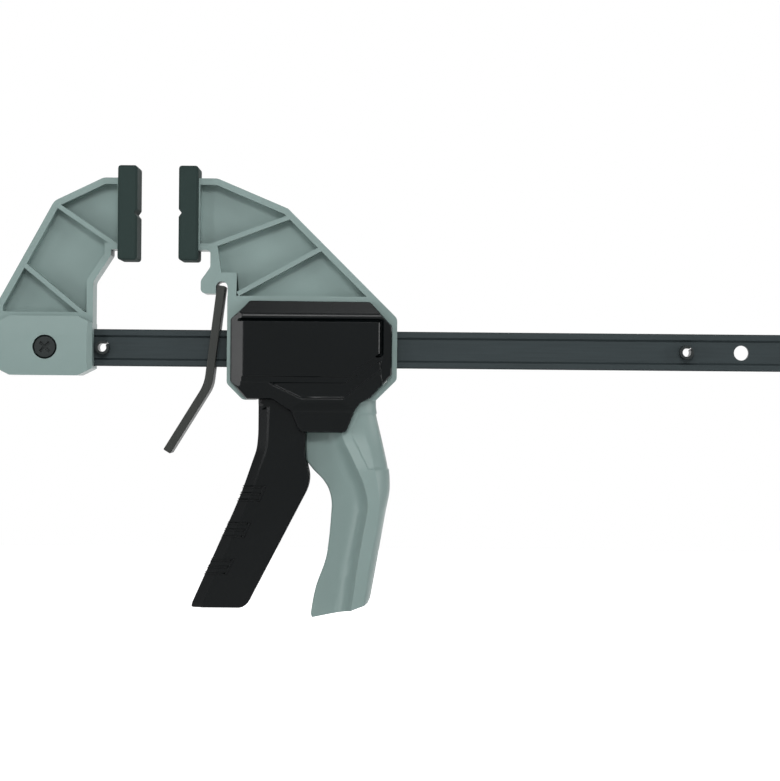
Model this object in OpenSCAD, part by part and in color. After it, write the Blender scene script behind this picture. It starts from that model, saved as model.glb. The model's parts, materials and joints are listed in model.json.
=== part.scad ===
// Quick release bar clamp. A moving jaw is fed along a steel bar by squeezing a
// trigger against its handle, and a brake lever in front of it holds the grip.
// The fixed jaw screws to one end of the bar, or to the free end for spreading.
// X runs along the bar from the fixed jaw to the free end, Y is across the bar
// and Z is up through the jaws. The origin is the centre of the free bar hole.

/* [Bar] */
// Height of the bar
bar_h = 18.4; // [16:0.2:20]
// Thickness of the bar over its edge rails
bar_t = 6; // [5:0.5:7]
// Height of each rail along the bar's edges
rail_h = 3; // [2:0.1:4]
// Depth of the rolled hollow between the rails, on each side
hollow_d = 1.2; // [0.6:0.1:1.6]
// Distance between the holes at the two ends of the bar
hole_span = 346.5; // [320:0.5:640]
// Diameter of the holes that take the jaw screw
hole_d = 7.4; // [7:0.1:8]
// Centre of a hole to the end of the bar
hole_end = 21.5; // [18:0.5:23]
// Diameter of the rolled stop pins
stop_d = 7; // [5:0.5:8]
// Length of the stop pins, across the bar
stop_len = 13; // [10:0.5:16]
// Gap between the front stop pin and the fixed jaw
stop_gap = 0.8; // [0.4:0.1:4]

/* [Jaws] */
// Opening between the pads as shown
jaw_gap = 20.5; // [4:0.5:120]
// Height of the jaw arms above the bar's centreline
jaw_top = 84.4; // [80:0.5:95]
// Half the width of the arms, across the bar
arm_half = 10; // [9:0.5:11]
// Half the thickness of the plate between the ribs
web_half = 2; // [1.5:0.1:3]
// Width of the rim round each arm
rim_w = 3.2; // [2.5:0.1:4]
// Width of the slanted ribs
rib_w = 2.3; // [1.8:0.1:3]
// Jaw screw to the clamping face of the fixed pad
jaw_reach = 45.2; // [44:0.2:50]
// Clamping face of the fixed pad to the front of the block that holds the bar
block_front = 21.9; // [20:0.1:24]
// Wall of the fixed jaw behind the bar's end
jaw_back = 3.1; // [2:0.1:6]
// Half the width of the block that holds the bar
block_half = 15; // [13:0.5:17]
// Diameter of the jaw screw
screw_d = 6.8; // [5:0.1:6.9]
// Diameter of the jaw screw's head
screw_head_d = 11.6; // [10:0.2:13]

/* [Pads] */
// Height of a pad
pad_h = 47; // [44:0.5:52]
// Thickness of a pad, along the bar
pad_t = 9.7; // [9:0.1:12]
// Half the width of a pad, across the bar
pad_half = 14.4; // [14:0.2:17]
// Pad top above the arm's top
pad_over = 6; // [5:0.5:8]
// Height of the groove across the middle of a pad
groove_h = 3.8; // [2:0.2:6]
// Depth of that groove
groove_d = 1.5; // [0.5:0.1:2]

/* [Housing] */
// Moving pad's face to the rear of the housing
body_len = 108.8; // [107:0.2:116]
// Housing bottom below the bar's centreline
body_drop = 25.4; // [24:0.2:28]
// Pad face to the front wall of the housing
body_front = 24.3; // [23:0.1:25]
// Thickness of the housing's walls
wall = 3.5; // [2.5:0.1:4]
// Half the width over the covers
cover_half = 16.8; // [16:0.2:19]
// Thickness of the covers
shell = 2.2; // [1.6:0.1:2.6]
// Depth of the cover's tongue below the housing
tongue_drop = 16.2; // [12:0.2:18]

/* [Handle] */
// Handle bottom below the bar's centreline
handle_drop = 133.6; // [125:0.2:145]
// Half the width of the handle's palm side
grip_half = 13.5; // [11:0.5:15]
// Half the thickness of the handle's thin front web
grip_web_half = 2.5; // [1.5:0.1:3]

/* [Trigger] */
// Pad face to the trigger's pivot
pivot_off = 57.8; // [56:0.1:60]
// Pivot height above the bar's centreline
pivot_h = 15.7; // [14.5:0.1:16.5]
// Trigger tip ahead of its pivot, along the bar
trigger_reach = 50.3; // [44:0.1:54]
// Trigger tip below its pivot
trigger_drop = 146.2; // [135:0.2:152]
// Half the width over the trigger
trigger_half = 10; // [9:0.1:10.2]
// Thickness of the trigger's cheeks and front wall
cheek_t = 2.8; // [2:0.1:3.2]
// Width of the slanted edge down the trigger's front corners
trigger_bevel = 5; // [3:0.2:6]
// Diameter of the pivot pin
pivot_d = 6; // [4:0.5:6.5]

/* [Drive] */
// Thickness of each drive plate
plate_t = 2.2; // [1.8:0.1:2.6]
// Height of a drive plate
plate_h = 27; // [24:0.5:28]
// Half the width of a drive plate
plate_half = 11; // [10.4:0.1:11.6]
// Wire diameter of the drive spring
drive_wire = 1.6; // [1.2:0.1:2]
// Turns of the drive spring
drive_turns = 8; // [5:1:12]

/* [Brake lever] */
// Thickness of the brake lever
lever_t = 4.1; // [3.4:0.1:4.3]
// Half the width of the brake lever
lever_half = 10.5; // [8:0.5:12]
// Lever tip below the bar's centreline
lever_drop = 51.5; // [40:0.5:60]
// Lean of the lever's straight part, in degrees
lever_lean = 7; // [6:0.5:9]
// Bend of the lever's finger end, in degrees
lever_bend = 24.5; // [15:0.5:30]
// Wire diameter of the brake spring
brake_wire = 0.6; // [0.5:0.1:0.7]
// Turns of the brake spring
brake_turns = 4; // [3:1:5]

/* [Hidden] */
$fn = 48;

// Working clearances and the overrun of every cut
over = 1;
slide_gap = 0.25;
seat_gap = 0.1;
pin_gap = 0.04;
press_gap = 0.01;
side_gap = 0.4;

// Places along the bar
jaw_x = -hole_span;
face_x = jaw_x + jaw_reach;
move_x = face_x + jaw_gap;
bar_x0 = jaw_x - hole_end;
bar_len = hole_span + 2 * hole_end;
jaw_len = jaw_reach + hole_end + jaw_back;
stop_off = jaw_reach - block_front + stop_d / 2 + stop_gap;
pivot_x = move_x + pivot_off;

// The drive spring runs just clear of the bar's corners
bar_edge = 0.5;
drive_gap = 0.9;
drive_r = norm([bar_t / 2 - bar_edge, bar_h / 2]) + drive_wire / 2 + drive_gap;

// Colours
GREY = "#80938f";
BLACK = "#202426";
PAD = "#2f3a38";
STEEL = "#2f3638";
PLATED = "#8c8f90";

// Vector helpers
function unit(v) = v / norm(v);
function turn(v, a) = [v.x * cos(a) - v.y * sin(a), v.x * sin(a) + v.y * cos(a)];
function left(v) = [-v.y, v.x];
function area(p) = let(n = len(p)) 0.5 * total([for (i = [0:n - 1])
    p[i].x * p[(i + 1) % n].y - p[(i + 1) % n].x * p[i].y]);
function total(v, i = 0) = i >= len(v) ? 0 : v[i] + total(v, i + 1);
function reversed(v) = [for (i = [len(v) - 1:-1:0]) v[i]];
function ccw(p) = area(p) > 0 ? p : reversed(p);
// Points given as shares of a width and a height
function shared(shares, w, h) = [for (s = shares) [s[0] * w, s[1] * h]];

// Outline with its corners rounded: each point is [x, z] with a radius from r
function rounded(p, r, steps = 5) = let(n = len(p)) [for (i = [0:n - 1])
    each corner(p[(i + n - 1) % n], p[i], p[(i + 1) % n], is_list(r) ? r[i] : r, steps)];
function corner(a, b, c, r, steps) = r <= 0 ? [b] : let(
    u = unit(a - b), v = unit(c - b),
    half = acos(max(-1, min(1, u * v))) / 2,
    cut = r / tan(half),
    mid = b + unit(u + v) * r / sin(half),
    start = b + u * cut - mid,
    sweep = (180 - 2 * half) * sign(u.x * v.y - u.y * v.x) * -1
) [for (k = [0:steps]) mid + turn(start, sweep * k / steps)];

// Outline moved inwards by d along its edges' normals
function inset(p0, d) = let(p = ccw(p0), n = len(p)) [for (i = [0:n - 1]) let(
    n1 = left(unit(p[i] - p[(i + n - 1) % n])),
    n2 = left(unit(p[(i + 1) % n] - p[i]))
) p[i] + d * (n1 + n2) / (1 + n1 * n2)];

// Side view outline, drawn in X and Z, made into a plate between two Y planes
module plate_y(y0, y1) {
    translate([0, y1, 0]) rotate([90, 0, 0]) linear_extrude(y1 - y0) children();
}
module plate_mid(half) { plate_y(-half, half) children(); }
// End view outline, drawn in Y and Z, run along X
module run_x(x0, x1) {
    translate([x0, 0, 0]) rotate([90, 0, 90]) linear_extrude(x1 - x0) children();
}
// Plan outline, drawn in X and Y, run up Z
module run_z(z0, z1) { translate([0, 0, z0]) linear_extrude(z1 - z0) children(); }
// Round bar or bore across the clamp, centred at x and z
module round_y(x, z, r, y0, y1) {
    translate([x, y1, z]) rotate([90, 0, 0]) cylinder(r = r, h = y1 - y0);
}
// Box between two corners
module box(a, b) { translate(a) cube(b - a); }

// Solid through outlines of equal count, each ring given as [y, outline]
module loft_y(rings) {
    n = len(rings[0][1]);
    last = len(rings) - 1;
    points = [for (g = rings) each [for (q = g[1]) [q.x, g[0], q.y]]];
    sides = [for (k = [0:last - 1]) for (i = [0:n - 1]) let(
        a = k * n + i, b = k * n + (i + 1) % n
    ) each [[a, b, b + n], [a, b + n, a + n]]];
    front = [for (i = [n - 1:-1:0]) i];
    back = [for (i = [0:n - 1]) last * n + i];
    polyhedron(points = points, faces = concat([front, back], sides));
}
// Walls between n rings of m points each, the rings turning anticlockwise from above
function ring_walls(n, m) = [for (i = [0:n - 2]) for (k = [0:m - 1]) let(
    a = i * m + k, d = i * m + (k + 1) % m
) each [[a, d, d + m], [a, d + m, a + m]]];
// Straight strip of width w between two points of a side view
module strip(a, b, w) {
    n = left(unit(b - a)) * w / 2;
    polygon([a + n, a - n, b - n, b + n]);
}

// Bar with its rolled section
rail_taper = 1;
module bar_section() {
    t = bar_t / 2;
    h = bar_h / 2;
    flank = [
        [t - hollow_d, -h + rail_h + rail_taper], [t, -h + rail_h],
        [t, -h + bar_edge], [t - bar_edge, -h]
    ];
    half = concat(flank, [for (q = reversed(flank)) [-q.x, q.y]]);
    polygon(concat(half, [for (q = half) [-q.x, -q.y]]));
}
module bar_hole(x, r) { round_y(x, 0, r, -bar_t, bar_t); }
module bar() {
    color(STEEL) difference() {
        run_x(bar_x0, bar_x0 + bar_len) bar_section();
        bar_hole(0, hole_d / 2);
        bar_hole(jaw_x, hole_d / 2);
        bar_hole(-stop_off, stop_d / 2 + press_gap);
        bar_hole(jaw_x + stop_off, stop_d / 2 + press_gap);
    }
}

// Rolled stop pins: a sheet curled into a tube with a slot along it
pin_wall = 1.4;
pin_slot = 0.9;
module stop_pin(x) {
    color(PLATED) difference() {
        round_y(x, 0, stop_d / 2, -stop_len / 2, stop_len / 2);
        round_y(x, 0, stop_d / 2 - pin_wall, -stop_len, stop_len);
        translate([x, 0, 0]) rotate([0, -45, 0])
            box([0, -stop_len, -pin_slot / 2], [stop_d, stop_len, pin_slot / 2]);
    }
}
module stop_pin_front() { stop_pin(jaw_x + stop_off); }
module stop_pin_rear() { stop_pin(-stop_off); }

// Arms: sizes that both jaws share
jaw_foot = 48.8;
floor_z = 26.2;
head_t = 3.2;
head_back = 4;
head_in = 3;
head_half = 12.2;
pad_top = jaw_top + pad_over;
pad_low = pad_top - pad_h;

// Plate on the end of an arm that the pad hooks over, measured from the pad's face
module pad_head(gap = 0) {
    box([head_back - gap, -head_half - gap, pad_low + head_in - gap],
        [head_back + head_t + gap, head_half + gap, pad_top - head_in + gap]);
}
// Neck of the arm inside the pad
module pad_neck(gap = 0) {
    box([head_back + head_t, -arm_half - gap, jaw_foot - gap],
        [pad_t + over, arm_half + gap, jaw_top + gap]);
}

// Pad: rounded block, grooved across its face, hollow behind for the arm's head
pad_round = 1.6;
pad_bevel = 1.1;
module pad_body() {
    mid = (pad_top + pad_low) / 2;
    side = [
        [0, mid + groove_h / 2], [0, pad_top], [pad_t, pad_top], [pad_t, pad_low],
        [0, pad_low], [0, mid - groove_h / 2], [groove_d, mid]
    ];
    difference() {
        intersection() {
            plate_mid(pad_half)
                polygon(rounded(side, [0, pad_round, pad_round, pad_round, pad_round, 0, 0]));
            run_x(-over, pad_t + over) polygon(rounded([
                [-pad_half, pad_low], [pad_half, pad_low],
                [pad_half, pad_top], [-pad_half, pad_top]], pad_round));
            run_z(pad_low - over, pad_top + over) polygon([
                [0, -pad_half + pad_bevel], [pad_bevel, -pad_half],
                [pad_t - pad_bevel, -pad_half], [pad_t, -pad_half + pad_bevel],
                [pad_t, pad_half - pad_bevel], [pad_t - pad_bevel, pad_half],
                [pad_bevel, pad_half], [0, pad_half - pad_bevel]]);
        }
        pad_head(seat_gap);
        pad_neck(seat_gap);
    }
}
module fixed_pad() { color(PAD) translate([face_x, 0, 0]) mirror([1, 0, 0]) pad_body(); }
module moving_pad() { color(PAD) translate([move_x, 0, 0]) pad_body(); }

// Fixed jaw: shares of jaw_top upwards, and places back from the clamping face where
// 0 is that face, 1 the front of the block and 2 its back
fixed_arm_shares = [
    [0.32, 1], [0.78, 1], [1.41, 0.860], [2, 0.249], [2, 0],
    [1, 0], [1, 0.384], [0.599, 0.545], [0.599, 0.578], [0.32, 0.578]
];
fixed_arm_round = [0, 6, 6, 3, 0, 0, 5, 2, 0, 0];
fixed_rib_shares = [[[1.417, 0.85], [0.446, 0.594]], [[1.709, 0.48], [1.096, 0.195]]];
block_top = 15.4;
block_drop = 14;
block_cut = 3.5;
block_taper = 2.6;
block_flat = 6;
block_lean = 0.8;
fixed_floor = 17.4;
nut_flats = 11;
nut_t = 5.5;
head_t_screw = 2.8;
screw_sink = 3;

function on_jaw(shares) = [for (q = shares)
    [face_x - lookup(q[0], [[0, 0], [1, block_front], [2, jaw_len]]), q[1] * jaw_top]];
module fixed_block() {
    x0 = face_x - jaw_len;
    x1 = face_x - block_front;
    cut = block_cut;
    intersection() {
        plate_mid(block_half) polygon([
            [x0, -block_drop + cut], [x0 + 2 * cut, -block_drop],
            [x1 - 2 * cut, -block_drop], [x1, -block_drop + cut],
            [x1, block_top - cut], [x1 - 2 * cut, block_top],
            [x0 + 2 * cut, block_top], [x0, block_top - cut]]);
        run_x(x0 - over, x1 + over) polygon([
            [-block_half + block_lean, -block_drop], [block_half - block_lean, -block_drop],
            [block_half, -block_flat], [block_half, block_flat],
            [block_half - block_lean, block_top], [-block_half + block_lean, block_top],
            [-block_half, block_flat], [-block_half, -block_flat]]);
        run_z(-block_drop - over, block_top + over) polygon([
            [x0, -block_half + block_taper], [x0 + block_taper, -block_half],
            [x1 - block_taper, -block_half], [x1, -block_half + block_taper],
            [x1, block_half - block_taper], [x1 - block_taper, block_half],
            [x0 + block_taper, block_half], [x0, block_half - block_taper]]);
    }
}
module fixed_arm() {
    corners = on_jaw(fixed_arm_shares);
    difference() {
        plate_mid(arm_half) polygon(rounded(corners, fixed_arm_round));
        for (y = [-arm_half - over, web_half]) plate_y(y, y + arm_half + over - web_half)
            difference() {
                polygon(inset(corners, rim_w));
                translate([face_x - 2 * jaw_len, 0]) square([2 * jaw_len, fixed_floor]);
                for (r = fixed_rib_shares) {
                    ends = on_jaw(r);
                    strip(ends[0], ends[1], rib_w);
                }
            }
    }
}
module fixed_jaw() {
    color(GREY) difference() {
        union() {
            fixed_arm();
            fixed_block();
            translate([face_x, 0, 0]) mirror([1, 0, 0]) {
                pad_head();
            }
        }
        box([bar_x0 - seat_gap, -bar_t / 2 - seat_gap, -bar_h / 2 - seat_gap],
            [face_x, bar_t / 2 + seat_gap, bar_h / 2 + seat_gap]);
        round_y(jaw_x, 0, screw_d / 2 + seat_gap, -block_half - over, block_half + over);
        round_y(jaw_x, 0, screw_head_d / 2 + 2 * seat_gap,
            -block_half - over, -block_half + screw_sink);
        translate([jaw_x, block_half + over, 0]) rotate([90, 0, 0])
            cylinder(r = nut_corner + seat_gap, h = nut_t + over, $fn = 6);
    }
}
nut_corner = nut_flats / 2 / cos(30);

// Cross recess in a screw's head, opening towards -Y
recess_share = 0.55;
module cross_recess(x, z, y, head_d, head_t) {
    size = head_d * recess_share;
    arm = size / 5;
    for (a = [45, 135]) translate([x, y, z]) rotate([0, a, 0])
        box([-size / 2, -over, -arm / 2], [size / 2, head_t * recess_share, arm / 2]);
}
module jaw_screw() {
    top = -block_half + screw_sink - head_t_screw;
    color(BLACK) difference() {
        union() {
            translate([jaw_x, top, 0]) rotate([-90, 0, 0]) cylinder(
                r1 = screw_head_d / 2 - head_t_screw / 4, r2 = screw_head_d / 2,
                h = head_t_screw / 2);
            round_y(jaw_x, 0, screw_head_d / 2, top + head_t_screw / 2, top + head_t_screw);
            round_y(jaw_x, 0, screw_d / 2, top + head_t_screw, block_half - seat_gap);
        }
        cross_recess(jaw_x, 0, top, screw_head_d, head_t_screw);
    }
}
module jaw_nut() {
    color(PLATED) difference() {
        translate([jaw_x, block_half, 0]) rotate([90, 0, 0])
            cylinder(r = nut_corner, h = nut_t, $fn = 6);
        round_y(jaw_x, 0, screw_d / 2 + press_gap, 0, block_half + over);
    }
}

// Moving jaw, housing and handle: one moulding, measured from the moving pad's face
notch_x = 21.5;
notch_z = 30.4;
notch_r = 2.9;
lug_x = 11;
lug_z = 27.2;
lug_neck = 15.7;
neck_z = 40.3;
lug_slope = 6.7;
lug_wall = 7.3;
neck_w = 5.5;
nose_cut = 8;
heel_cut = 10.5;
heel_z = 15.6;
shoulder_x = 54.1;
shoulder_z = 69.7;
arm_flat = 19;
body_rib_shares = [[[0.13, 0.594], [0.52, 0.784]], [[0.27, 0.321], [0.66, 0.60]]];
body_corners = [
    [head_back + head_t, jaw_foot], [lug_neck, jaw_foot], [lug_neck, neck_z],
    [lug_x, neck_z - lug_slope], [lug_x, lug_z], [body_front, lug_z],
    [body_front, nose_cut - body_drop], [body_front + nose_cut, -body_drop],
    [body_len - heel_cut, -body_drop], [body_len, heel_cut - body_drop],
    [body_len, heel_z], [shoulder_x, shoulder_z],
    [arm_flat, jaw_top], [head_back + head_t, jaw_top]
];
body_round = [0, 1.8, 3, 3, 2.4, 0, 3, 3, 3, 3, 4, 3, 7, 0];

// Room inside the housing, open below for the trigger
room_top = 22.4;
room_floor = -21.5;
room_cut = 6;
room_brow = 10;
mouth_reach = 19.3;
mouth_share = 0.675;
rear_wall = 4.8;
mouth_front = pivot_off - mouth_reach;
mouth_rear = body_front + (body_len - body_front) * mouth_share;
room_outline = [
    [body_front + wall + room_brow, room_top], [body_front + wall, room_top - room_brow],
    [body_front + wall, room_floor + room_cut],
    [body_front + wall + room_cut, room_floor], [mouth_front, room_floor],
    [mouth_front, -body_drop - over], [mouth_rear, -body_drop - over],
    [mouth_rear, room_floor], [body_len - rear_wall - room_cut, room_floor],
    [body_len - rear_wall, room_floor + room_cut], [body_len - rear_wall, room_top - room_brow],
    [body_len - rear_wall - room_brow, room_top]
];

// Lines down the handle, each point [share of handle_drop, share of body_len]
grip_web_shares = [[0.16, 0.587], [0.405, 0.587], [0.445, 0.62], [0.484, 0.667],
    [0.52, 0.694], [0.565, 0.706], [0.61, 0.705], [0.711, 0.695], [0.785, 0.682],
    [0.887, 0.637], [1, 0.617]];
grip_front_shares = [[0.16, 0.747], [0.317, 0.749], [0.40, 0.795], [0.487, 0.847],
    [0.54, 0.868], [0.58, 0.872], [0.62, 0.867], [0.781, 0.832], [0.972, 0.797]];
grip_ridge_shares = [[0.16, 0.830], [0.235, 0.844], [0.416, 0.912], [0.50, 0.925],
    [0.56, 0.928], [0.65, 0.921], [0.743, 0.899], [0.952, 0.860]];
grip_rear_shares = [[0.16, 0.905], [0.235, 0.909], [0.34, 0.940], [0.44, 0.967], [0.50, 0.972],
    [0.54, 0.970], [0.60, 0.955], [0.92, 0.888], [0.942, 0.878]];
// Widths down the handle: [share of handle_drop, share of grip_half]
grip_width_shares = [[0.16, 0.70], [0.33, 0.72], [0.46, 1], [0.80, 1], [0.97, 0.92]];
// Hollow from the web out to the palm side: shares of its length back, and of its rise
grip_hollow_shares = [[1, 0], [0.6, 0.1], [0.34, 0.3], [0.12, 0.68]];
grip_hollow = 9.5;
grip_bevel = 5.5;
grip_steps = 40;
// Point on a line down the handle, t running from 0 at its top to 1 at its bottom
function grip_at(shares, t) = let(
    a = shares[0][0], b = shares[len(shares) - 1][0], s = a + (b - a) * t
) [body_len * lookup(s, shares), -s * handle_drop];
// Right hand half of a section: web, hollow, palm face, bevel
function grip_half_ring(t) = let(
    w = grip_at(grip_web_shares, t),
    f = grip_at(grip_front_shares, t),
    half = grip_half * lookup(-f.y / handle_drop, grip_width_shares)
) [
    for (q = [
        [w, grip_web_half],
        for (h = grip_hollow_shares)
            [f - (f - w) * h[0] * grip_hollow / (f.x - w.x), grip_web_half + h[1] * (half - grip_web_half)],
        [f, half],
        [grip_at(grip_ridge_shares, t), half],
        [grip_at(grip_rear_shares, t), half - grip_bevel]
    ]) [q[0].x, q[1], q[0].y]
];
module grip() {
    rings = [for (i = [0:grip_steps]) let(h = grip_half_ring(i / grip_steps))
        concat([for (q = h) [q.x, -q.y, q.z]], reversed(h))];
    m = len(rings[0]);
    last = grip_steps * m;
    caps = [for (k = [0:m / 2 - 2]) each [
        [k + 1, k, m - 1 - k, m - 2 - k],
        [last + k, last + k + 1, last + m - 2 - k, last + m - 1 - k]]];
    polyhedron(points = [for (g = rings) each g],
        faces = concat(ring_walls(grip_steps + 1, m), caps));
}
module body_arm() {
    difference() {
        plate_mid(arm_half) polygon(rounded(body_corners, body_round));
        for (y = [-arm_half - over, web_half]) plate_y(y, y + arm_half + over - web_half)
            difference() {
                polygon(inset(body_corners, rim_w));
                translate([0, -body_len]) square([body_len, body_len + floor_z]);
                polygon([
                    [0, jaw_foot + rim_w], [lug_neck + rim_w, jaw_foot + rim_w],
                    [lug_neck + neck_w, notch_z + lug_wall],
                    [notch_x + lug_wall, notch_z + lug_wall],
                    [notch_x + lug_wall, 0], [0, 0]]);
                for (r = body_rib_shares) {
                    ends = shared(r, body_len, jaw_top);
                    strip(ends[0], ends[1], rib_w);
                }
            }
        plate_mid(arm_half + over) polygon(room_outline);
        round_y(notch_x, notch_z, notch_r, -arm_half - over, arm_half + over);
        box([notch_x - notch_r, -arm_half - over, lug_z - over],
            [notch_x + notch_r, arm_half + over, notch_z]);
    }
}
module jaw_body() {
    color(GREY) translate([move_x, 0, 0]) difference() {
        union() {
            body_arm();
            grip();
            pad_head();
        }
        box([0, -bar_t / 2 - slide_gap, -bar_h / 2 - slide_gap],
            [body_len + over, bar_t / 2 + slide_gap, bar_h / 2 + slide_gap]);
        translate([body_front - over, brake_y, 0]) rotate([0, 90, 0])
            cylinder(r = brake_r + brake_wire / 2 + seat_gap, h = brake_sink + over);
    }
}

// Covers: bevelled shells on both sides of the housing, each with a tongue
cover_seat = arm_half;
cover_lip = 2.2;
cover_rise = 4.9;
panel_edge = 1;
plinth_edge = 0.7;
tongue_gap = 0.5;
tongue_half = 14.4;
tongue_edge = 1.3;
cover_mid_share = [0.499, -0.031];
cover_inset_share = [0.86, 0.66];
// Outlines on the covers: shares of the housing's length from its front and of body_drop upwards
cover_shares = [[0.024, 0.551], [0.024, -0.638], [0.131, -0.996], [0.861, -0.965],
    [0.973, -0.579], [0.976, 0.465], [0.833, 0.933], [0.140, 0.941]];
cover_round = [2, 2, 2, 3, 3, 3, 2, 2];
panel_shares = [[0.110, 0.535], [0.110, -0.543], [0.728, -0.543], [0.905, -0.094],
    [0.905, 0.535]];
panel_round = [1.5, 1.5, 4, 4, 2.5];
plinth_shares = [[0.115, 0.575], [0.115, -0.610], [0.275, -0.669], [0.440, -0.913],
    [0.683, -0.913], [0.923, -0.157], [0.923, 0.575]];
plinth_round = [0, 0, 5, 3, 3, 4, 0];
// Tongue: shares of body_len and of the depth down to the tongue's end
tongue_shares = [[0.186, -0.481], [0.186, -0.553], [0.379, -0.730], [0.422, -1],
    [0.692, -1], [0.764, -0.700], [0.822, -0.52], [0.822, -0.45]];
tongue_round = [0, 0, 2.5, 3, 3.5, 3, 0, 0];
post_r = 3.4;
cover_head_r = 3.3;
cover_head_t = 2.4;
cover_screw_d = 3.4;
cover_screw_len = 16;
cup_wall = 1.6;
post_meet = 6;
post_gap = 1.4;
front_post_x = body_front + wall + 2 * post_r;
rear_post_x = body_len - rear_wall - 3.5 * post_r;
front_post_z = bar_h / 2 + post_r + post_gap;
rear_post_z = drive_r + drive_wire + post_r;
post_places = [
    [front_post_x, front_post_z], [rear_post_x, rear_post_z],
    [rear_post_x, -rear_post_z], [front_post_x, -front_post_z]
];
screw_seat = cover_seat + 1.2;
pin_boss_r = 5;
pin_end = 12.6;

// Points on the housing's side
function on_body(shares, drop = body_drop) = [for (q = shares)
    [body_front + q[0] * (body_len - body_front), q[1] * drop]];
// Shrinks an outline about the cover's middle by a share each way
function drawn_in(p, s) = let(mid = on_body([cover_mid_share])[0]) [for (q = p)
    mid + [(q.x - mid.x) * s[0], (q.y - mid.y) * s[1]]];
// Front cover as a solid, lying towards -Y
module cover_solid() {
    skirt = ccw(rounded(on_body(cover_shares), cover_round));
    crown = drawn_in(skirt, cover_inset_share);
    top = cover_seat + cover_rise;
    panel = ccw(rounded(on_body(panel_shares), panel_round));
    plinth = ccw(rounded(on_body(plinth_shares), plinth_round));
    tongue = ccw(rounded(on_body(tongue_shares, body_drop + tongue_drop), tongue_round));
    mirror([0, 1, 0]) {
        loft_y([[cover_seat, skirt], [cover_seat + cover_lip, skirt], [top, crown]]);
        loft_y([[cover_seat + cover_lip, plinth], [top + plinth_edge / 2, plinth],
            [top + plinth_edge, inset(plinth, plinth_edge / 2)]]);
        loft_y([[cover_seat + cover_lip, panel], [cover_half - panel_edge, panel],
            [cover_half, inset(panel, panel_edge)]]);
        loft_y([[trigger_half + tongue_gap, tongue], [tongue_half - tongue_edge, tongue],
            [tongue_half, inset(tongue, tongue_edge)]]);
    }
}
// Hollow of a cover
module cover_room() {
    skirt = inset(on_body(cover_shares), shell);
    crown = drawn_in(skirt, cover_inset_share);
    top = cover_seat + cover_rise;
    mirror([0, 1, 0]) loft_y([[cover_seat - over, skirt],
        [cover_seat + cover_lip - shell / 4, skirt], [top - shell / 2 - seat_gap, crown]]);
}
// Turns what lies towards -Y to its own side: -1 is the front and 1 the back
module facing(side) {
    if (side < 0) children();
    else mirror([0, 1, 0]) children();
}
module at_posts(r, y0, y1) {
    for (p = post_places) round_y(p.x, p.y, r, y0, y1);
}
// A cover with its bosses: long posts in front, short ones with screw seats behind
module cover(side) {
    front = side < 0;
    deep = cover_seat + cover_rise;
    translate([move_x, 0, 0]) facing(side) difference() {
        union() {
            difference() {
                cover_solid();
                cover_room();
            }
            intersection() {
                cover_solid();
                union() {
                    at_posts(front ? post_r : cover_head_r + cup_wall, -deep, -cover_seat);
                    round_y(pivot_off, pivot_h, pin_boss_r, -deep, -cover_seat - side_gap);
                }
            }
            at_posts(post_r, -cover_seat - cover_lip, front ? post_meet : -post_meet);
        }
        round_y(pivot_off, pivot_h, pivot_d / 2 + pin_gap, -pin_end - seat_gap, 0);
        if (front) at_posts(cover_screw_d / 2, screw_seat - cover_screw_len - over, post_meet + over);
        else {
            at_posts(cover_screw_d / 2 + seat_gap, -cover_half - over, 0);
            at_posts(cover_head_r + 2 * seat_gap, -cover_half - over, -screw_seat);
        }
    }
}
module cover_front() { color(BLACK) cover(-1); }
module cover_back() { color(BLACK) cover(1); }
module cover_screws() {
    color(STEEL) translate([move_x, 0, 0]) mirror([0, 1, 0]) difference() {
        union() {
            at_posts(cover_head_r, -screw_seat - cover_head_t, -screw_seat);
            at_posts(cover_screw_d / 2 - press_gap, -screw_seat, cover_screw_len - screw_seat);
        }
        for (p = post_places)
            cross_recess(p.x, p.y, -screw_seat - cover_head_t, cover_head_r * 2, cover_head_t);
    }
}

// Trigger: lines down it, each point [share of trigger_drop, share of trigger_reach],
// measured from its pivot
trigger_front_shares = [[0.20, -0.352], [0.30, -0.352], [0.38, -0.351], [0.42, -0.357],
    [0.45, -0.368], [0.475, -0.391], [0.615, -0.534], [0.758, -0.712], [0.97, -0.992],
    [0.99, -1]];
trigger_rear_shares = [[0.20, 0.02], [0.26, 0.08], [0.31, 0.119], [0.46, 0.119],
    [0.50, 0.140], [0.535, 0.160], [0.565, 0.154], [0.595, 0.121], [0.90, -0.335],
    [0.955, -0.415], [0.975, -0.45], [0.99, -0.52]];
trigger_steps = 40;
trigger_slant = 3.5;
trigger_wall = 3.4;
trigger_floor = 3;
hub_r = 5.4;
nose_r = 2.5;
nose_x = 4.2;
nose_drop = 18.7;
fork_set = 0.2;
fork_shares = [[-0.32, -0.23], [-0.30, -0.12], [-0.10, 0], [0.09, 0.02],
    [0.125, -0.128], [0.02, -0.19], [0.02, -0.23]];
// Finger bands: places down the trigger, as shares of trigger_drop
band_shares = [0.59, 0.716, 0.839];
band_pitch = 3;
band_h = 1.5;
band_rise = 0.5;
band_set = 0.6;
band_reach = 4.5;

function trigger_at(shares, s) = trigger_reach * lookup(s, shares);
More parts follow.
